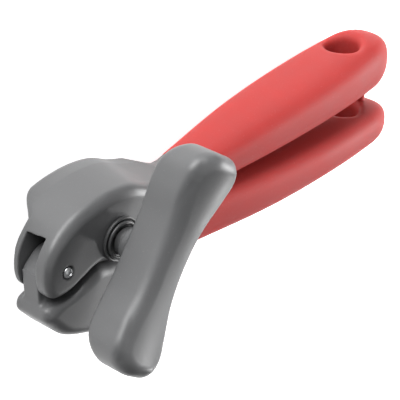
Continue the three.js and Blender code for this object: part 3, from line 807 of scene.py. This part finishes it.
class OPENER_OT_collars(Operator):
    """Flanged bushing and thrust ring round the shaft, under the key"""

    bl_idname = "can_opener.collars"
    bl_label = "Bushing and thrust ring"

    def execute(self, context):
        bushing = turned(SHAFT[0], SHAFT[1], (
            (3.08, -5.3), (5.4, -5.3), (5.4, 12.1), (8.4, 12.1), (8.4, 12.9), (8.2, 13.15), (7.95, 13.3),
            (7.65, 13.2), (7.4, 12.9), (3.08, 12.9)), 128, 0.08)
        piece("shaft_bushing_flange", *bushing, finish("darker_grey_and_painted_hub_shade"), "upper_arm",
              "bushing_grey", ["shaft_bushing"], sharp=50)
        ring = turned(SHAFT[0], SHAFT[1], (
            (3.5, 13.1), (7.0, 13.1), (7.1, 13.5), (6.95, 13.9), (6.6, 14.1), (6.2, 14.1), (5.95, 13.9),
            (5.85, 13.6), (3.5, 13.6)), 128, 0.08)
        piece("thrust_ring", *ring, finish("darker_grey_and_painted_hub_shade"), "upper_arm", "bushing_grey",
              ["thrust_washer"], sharp=50)
        return {"FINISHED"}


# ---- steel pieces --------------------------------------------------------------------------------

def steel_piece(name, shape, body, nodes, look="plain_steel", slot="steel"):
    """Adds one steel piece whose creases stay crisp."""
    piece(name, *shape, finish(look), body, slot, nodes, sharp=32)


class OPENER_OT_pivot(Operator):
    """Pivot pin with its domed head, and the washer under its rear head"""

    bl_idname = "can_opener.pivot"
    bl_label = "Pivot pin"

    def execute(self, context):
        angle = np.radians(np.linspace(0, 90, 8))
        dome = [(2.05 * math.cos(a), 11.5 + 1.1 * math.sin(a)) for a in angle]
        rear = [(3.4 * math.cos(a), -6.7 - 1.3 * math.sin(a)) for a in angle[::-1]]
        pin = turned(0, 0, [*rear, (3.4, -6.5), (2.2, -6.5), (2.2, 10.6), (2.05, 10.75), *dome], 96, 0.05)
        steel_piece("pivot_pin_turned", pin, "upper_arm", ["pivot_pin"], "polished_pin_steel", "pin_steel")
        washer = turned(0, 0, ((2.5, -6.3), (4.2, -6.3), (4.2, -5.6), (2.5, -5.6)))
        steel_piece("pivot_washer_turned", washer, "upper_arm", ["pivot_washer"])
        return {"FINISHED"}


class OPENER_OT_drive(Operator):
    """Drive shaft, toothed wheel, washer and nut"""

    bl_idname = "can_opener.drive"
    bl_label = "Drive"

    def execute(self, context):
        u, v = SHAFT[0], SHAFT[1]
        shaft = turned(u, v, ((0, -13.6), (1.7, -13.6), (2.0, -13.3), (2.0, -11.0), (3.0, -11.0),
                              (3.0, 30.6), (2.6, 31.0), (0, 31.0)), 64)
        steel_piece("drive_shaft_turned", shaft, "key_drive", ["drive_shaft"])
        teeth = context.scene.opener_wheels.teeth
        angle = np.linspace(0, 2 * np.pi, teeth * 12, endpoint=False)
        phase = (angle * teeth / (2 * np.pi)) % 1.0
        rise = np.clip(np.minimum(phase / 0.3, (0.85 - phase) / 0.3), 0.0, 1.0)
        radius = 5.6 + 0.9 * rise
        loop = np.stack([u + radius * np.cos(angle), v + radius * np.sin(angle)], 1)
        wheel = prism(loop, -10.3, -7.6, 0.3, hole=3.02)
        steel_piece("drive_wheel_teeth", wheel, "key_drive", ["drive_wheel"], "ground_blade_steel")
        hub = turned(u, v, ((3.05, -10.7), (4.6, -10.7), (4.6, -7.3), (3.05, -7.3)))
        steel_piece("drive_wheel_hub", hub, "key_drive", ["drive_wheel"])
        washer = turned(u, v, ((3.3, -7.1), (5.2, -7.1), (5.2, -6.85), (3.3, -6.85)), 96, 0.05)
        steel_piece("drive_washer_turned", washer, "key_drive", ["drive_washer"])
        side = np.arange(72) * 2 * np.pi / 72
        flat = 3.2 / np.cos((side + np.pi / 6) % (np.pi / 3) - np.pi / 6)
        nut_loop = np.stack([u + flat * np.cos(side), v + flat * np.sin(side)], 1)
        steel_piece("drive_nut_hex", prism(nut_loop, -13.2, -11.2, 0.28, hole=2.02), "key_drive",
                    ["drive_nut"])
        return {"FINISHED"}


class OPENER_OT_cutter(Operator):
    """Cutting wheel, its shoulder axle and spacer"""

    bl_idname = "can_opener.cutter"
    bl_label = "Cutter"

    def execute(self, context):
        u, v = CUTTER[0], CUTTER[1]
        blade = turned(u, v, ((2.58, -12.6), (5.2, -12.6), (5.6, -12.45), (9.5, -11.0), (9.44, -10.9),
                              (8.9, -10.7), (5.0, -10.2), (2.58, -10.2)), 160, 0.03)
        steel_piece("cutting_wheel_blade", blade, "cutter", ["cutting_wheel"], "ground_blade_steel",
                    "blade_steel")
        axle = turned(u, v, ((0, -14.4), (1.1, -14.4), (1.3, -14.15), (4.1, -14.4), (4.6, -13.9),
                             (4.6, -12.9), (2.5, -12.9), (2.5, -5.6), (1.8, -5.6), (1.8, 3.8), (0, 3.8)))
        steel_piece("cutter_axle_turned", axle, "lower_arm", ["cutter_axle"])
        spacer = turned(u, v, ((2.7, -9.9), (4.4, -9.9), (4.4, -5.6), (2.7, -5.6)))
        steel_piece("cutter_spacer", spacer, "lower_arm", ["cutter_washer"])
        return {"FINISHED"}


class OPENER_OT_inside(Operator):
    """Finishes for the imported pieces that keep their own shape"""

    bl_idname = "can_opener.inside"
    bl_label = "Plates and cores"

    def execute(self, context):
        for name in ("upper_core", "upper_core_pin", "lower_core", "lower_core_pin", "rear_plate",
                     "rear_plate_screw_front", "rear_plate_screw_rear"):
            made = frame["nodes"][name]
            made.data.materials.clear()
            made.data.materials.append(finish("plain_steel"))
        return {"FINISHED"}


# ---- stage ---------------------------------------------------------------------------------------

def camera_axes(settings):
    """Right, up and back of the camera in the working frame: back is swung from w towards the head and
    lifted towards v, right is level in v, and both are then rolled about back."""
    swing, lift, roll = settings.swing, settings.lift, settings.roll
    back = np.array([-math.sin(swing) * math.cos(lift), math.sin(lift), math.cos(swing) * math.cos(lift)])
    level = np.array([0, 1, 0]) - back * back[1]
    level /= np.linalg.norm(level)
    side = np.cross(level, back)
    right = math.cos(roll) * side + math.sin(roll) * level
    up = -math.sin(roll) * side + math.cos(roll) * level
    return right, up, back


def turned_half(direction):
    """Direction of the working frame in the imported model's frame."""
    return Vector((-direction[0], -direction[1], direction[2]))


def area_light(name, location, target, size, power):
    """Rectangular soft light of a width and height, aimed at a point."""
    data = bpy.data.lights.new(name, "AREA")
    data.shape = "RECTANGLE"
    data.size, data.size_y = size
    data.energy = power
    lamp = bpy.data.objects.new(name, data)
    aim = (Vector(target) - Vector(location)).to_track_quat("-Z", "Y")
    lamp.matrix_world = Matrix.Translation(location) @ aim.to_matrix().to_4x4()
    bpy.context.scene.collection.objects.link(lamp)


class OPENER_OT_stage(Operator):
    """Pale floor, soft lights and the camera"""

    bl_idname = "can_opener.stage"
    bl_label = "Stage"

    def execute(self, context):
        settings = context.scene.opener_stage
        corners = np.array([(-1, -1, 0), (1, -1, 0), (1, 1, 0), (-1, 1, 0)]) * FLOOR_HALF
        mesh = bpy.data.meshes.new("floor")
        mesh.from_pydata(corners, [], [(0, 1, 2, 3)])
        paper = moulded("pale_floor_paper", tuple(settings.floor), 0.7, 300.0, 0.05, mottle=0.004)
        shader = paper.node_tree.nodes["Principled BSDF"]
        shader.inputs["Emission Color"].default_value = (1.0, 1.0, 1.0, 1.0)
        shader.inputs["Emission Strength"].default_value = settings.floor_glow
        mesh.materials.append(paper)
        floor = bpy.data.objects.new("floor", mesh)
        context.scene.collection.objects.link(floor)

        middle = (0.0, 0.0, 0.02)
        area_light("main_light", (0.36, -0.93, 0.17), middle, (1.0, 0.34), settings.main_power)
        area_light("side_light", (-0.8, 0.12, 0.6), middle, (0.6, 0.6), settings.side_power)
        area_light("top_light", (0.15, -0.1, 1.0), middle, (0.8, 0.8), settings.top_power)
        area_light("rim_light", (-0.6, 0.71, 0.37), middle, (0.1, 0.1), settings.rim_power)
        world = bpy.data.worlds.new("studio")
        world.use_nodes = True
        background = world.node_tree.nodes["Background"]
        background.inputs["Color"].default_value = (1.0, 1.0, 1.0, 1.0)
        background.inputs["Strength"].default_value = settings.room_glow
        context.scene.world = world
        context.scene.view_settings.view_transform = "Standard"

        right, up, back = camera_axes(settings)
        place = placed((np.array(LOOKED_AT) + back * settings.distance)[None, :])[0]
        data = bpy.data.cameras.new("camera")
        data.sensor_width = SENSOR
        data.lens = LENS
        data.clip_start = 0.01
        camera = bpy.data.objects.new("camera", data)
        turn = Matrix((turned_half(right), turned_half(up), turned_half(back))).transposed()
        camera.matrix_world = Matrix.Translation(Vector(place)) @ turn.to_4x4()
        context.scene.collection.objects.link(camera)
        context.scene.camera = camera
        return {"FINISHED"}


class OPENER_PT_panel(Panel):
    """Lists the opener's pieces in the sidebar"""

    bl_idname = "OPENER_PT_panel"
    bl_label = "Can Opener"
    bl_space_type = "VIEW_3D"
    bl_region_type = "UI"
    bl_category = "Can Opener"

    def draw(self, context):
        layout = self.layout
        scene = context.scene
        for operator in OPERATORS:
            layout.operator(operator.bl_idname)
        for group in SETTINGS:
            box = layout.box()
            settings = getattr(scene, group)
            for name in settings.__annotations__:
                box.prop(settings, name)


SETTINGS = {
    "opener_grips": GripSettings,
    "opener_jaws": JawSettings,
    "opener_key": KeySettings,
    "opener_wheels": WheelSettings,
    "opener_stage": StageSettings,
}
OPERATORS = (
    OPENER_OT_stage, OPENER_OT_upper_jaw, OPENER_OT_lower_jaw, OPENER_OT_grips, OPENER_OT_bumper,
    OPENER_OT_key, OPENER_OT_collars, OPENER_OT_pivot, OPENER_OT_drive, OPENER_OT_cutter, OPENER_OT_inside,
)


def register():
    """Registers the settings, the operators and the panel."""
    for name, group in SETTINGS.items():
        bpy.utils.register_class(group)
        setattr(bpy.types.Scene, name, PointerProperty(type=group))
    for operator in OPERATORS:
        bpy.utils.register_class(operator)
    bpy.utils.register_class(OPENER_PT_panel)


def unregister():
    """Removes everything that register() added."""
    bpy.utils.unregister_class(OPENER_PT_panel)
    for operator in reversed(OPERATORS):
        bpy.utils.unregister_class(operator)
    for name, group in reversed(SETTINGS.items()):
        delattr(bpy.types.Scene, name)
        bpy.utils.unregister_class(group)


def main():
    register()
    bpy.ops.can_opener.stage()
    bpy.ops.can_opener.upper_jaw()
    bpy.ops.can_opener.lower_jaw()
    bpy.ops.can_opener.grips()
    bpy.ops.can_opener.bumper()
    bpy.ops.can_opener.key()
    bpy.ops.can_opener.collars()
    bpy.ops.can_opener.pivot()
    bpy.ops.can_opener.drive()
    bpy.ops.can_opener.cutter()
    bpy.ops.can_opener.inside()


if __name__ == "__main__":
    main()
